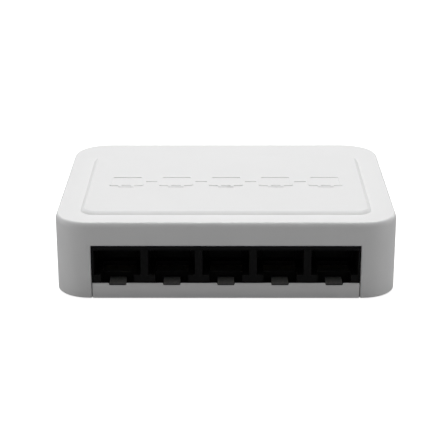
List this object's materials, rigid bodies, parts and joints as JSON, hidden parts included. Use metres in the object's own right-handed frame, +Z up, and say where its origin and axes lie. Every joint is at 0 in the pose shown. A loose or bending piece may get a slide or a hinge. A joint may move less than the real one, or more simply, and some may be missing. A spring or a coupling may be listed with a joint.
{
  "type": "desktop network switch",
  "caption": "Small white desktop network switch: flat rounded box with a row of network sockets in front, and a power socket and status lights at the back.",
  "frame": {"origin": "centre of the object's box at the bottoms of the rubber feet", "axes": "+Z up; -Y towards the side with the network sockets; +X along the row of sockets, to the right when the sockets are seen from the front"},
  "size_m": [0.0886, 0.07, 0.0225],
  "materials": {
    "white_plastic": "fine matt moulded, white",
    "black_plastic": "moulded black plastic",
    "foot_rubber": "matt dark grey rubber",
    "screw_steel": "zinc-plated steel",
    "label_paper": "blank silver-grey label",
    "board_green": "green solder mask",
    "gold_plate": "thin gold plate on sprung bronze",
    "nickel_plate": "nickel plate",
    "tin_plate": "dull tin plate",
    "clear_plastic": "clear moulded plastic",
    "lamp_resin": "pale lamp resin",
    "chip_epoxy": "black moulding compound",
    "chip_ceramic": "tan ceramic",
    "capacitor_sleeve": "dark shrink sleeve",
    "ferrite": "dark grey ferrite",
    "blue_lacquer": "blue lacquer"
  },
  "bodies": {
    "switch": {"top_cover": "white_plastic", "base_plate": "white_plastic", "foot_front_left": "foot_rubber", "foot_front_right": "foot_rubber", "foot_rear_left": "foot_rubber", "foot_rear_right": "foot_rubber", "case_screws": "screw_steel", "rating_label": "label_paper", "circuit_board": "board_green", "board_screws": "screw_steel", "socket_block": "black_plastic", "contact_carrier_1": "black_plastic", "contact_carrier_2": "black_plastic", "contact_carrier_3": "black_plastic", "contact_carrier_4": "black_plastic", "contact_carrier_5": "black_plastic", "fixed_wires_1": "gold_plate", "fixed_wires_2": "gold_plate", "fixed_wires_3": "gold_plate", "fixed_wires_4": "gold_plate", "fixed_wires_5": "gold_plate", "power_socket": "black_plastic", "power_pin": "nickel_plate", "power_terminals": "nickel_plate", "light_guide": "clear_plastic", "status_lights": "lamp_resin", "switch_chip": "chip_epoxy", "switch_chip_leads": "tin_plate", "transformer_1": "chip_epoxy", "transformer_2": "chip_epoxy", "transformer_3": "chip_epoxy", "transformer_4": "chip_epoxy", "transformer_5": "chip_epoxy", "transformer_leads": "tin_plate", "clock_crystal": "nickel_plate", "input_capacitor": "capacitor_sleeve", "core_capacitor": "capacitor_sleeve", "power_inductor": "ferrite", "regulator_chip": "chip_epoxy", "regulator_leads": "tin_plate", "input_diode": "chip_epoxy", "surge_capacitor": "blue_lacquer", "chip_capacitors": "chip_ceramic", "chip_resistors": "chip_epoxy"},
    "port_1_contacts": {"spring_wires_1": "gold_plate"},
    "port_2_contacts": {"spring_wires_2": "gold_plate"},
    "port_3_contacts": {"spring_wires_3": "gold_plate"},
    "port_4_contacts": {"spring_wires_4": "gold_plate"},
    "port_5_contacts": {"spring_wires_5": "gold_plate"},
    "power_contact": {"power_leaf": "nickel_plate"}
  },
  "joints": [
    {"name": "port_1_contacts_press", "type": "hinge", "parent": "switch", "child": "port_1_contacts", "pos_m": [-0.02794, -0.0309, 0.01535], "axis": [1, 0, 0], "range_deg": [0, 12], "stiffness_Nm_per_rad": 0.05},
    {"name": "port_2_contacts_press", "type": "hinge", "parent": "switch", "child": "port_2_contacts", "pos_m": [-0.01397, -0.0309, 0.01535], "axis": [1, 0, 0], "range_deg": [0, 12], "stiffness_Nm_per_rad": 0.05},
    {"name": "port_3_contacts_press", "type": "hinge", "parent": "switch", "child": "port_3_contacts", "pos_m": [0, -0.0309, 0.01535], "axis": [1, 0, 0], "range_deg": [0, 12], "stiffness_Nm_per_rad": 0.05},
    {"name": "port_4_contacts_press", "type": "hinge", "parent": "switch", "child": "port_4_contacts", "pos_m": [0.01397, -0.0309, 0.01535], "axis": [1, 0, 0], "range_deg": [0, 12], "stiffness_Nm_per_rad": 0.05},
    {"name": "port_5_contacts_press", "type": "hinge", "parent": "switch", "child": "port_5_contacts", "pos_m": [0.02794, -0.0309, 0.01535], "axis": [1, 0, 0], "range_deg": [0, 12], "stiffness_Nm_per_rad": 0.05},
    {"name": "power_contact_press", "type": "hinge", "parent": "switch", "child": "power_contact", "pos_m": [0.022, 0.0238, 0.008], "axis": [-1, 0, 0], "range_deg": [0, 6], "stiffness_Nm_per_rad": 0.05}
  ]
}
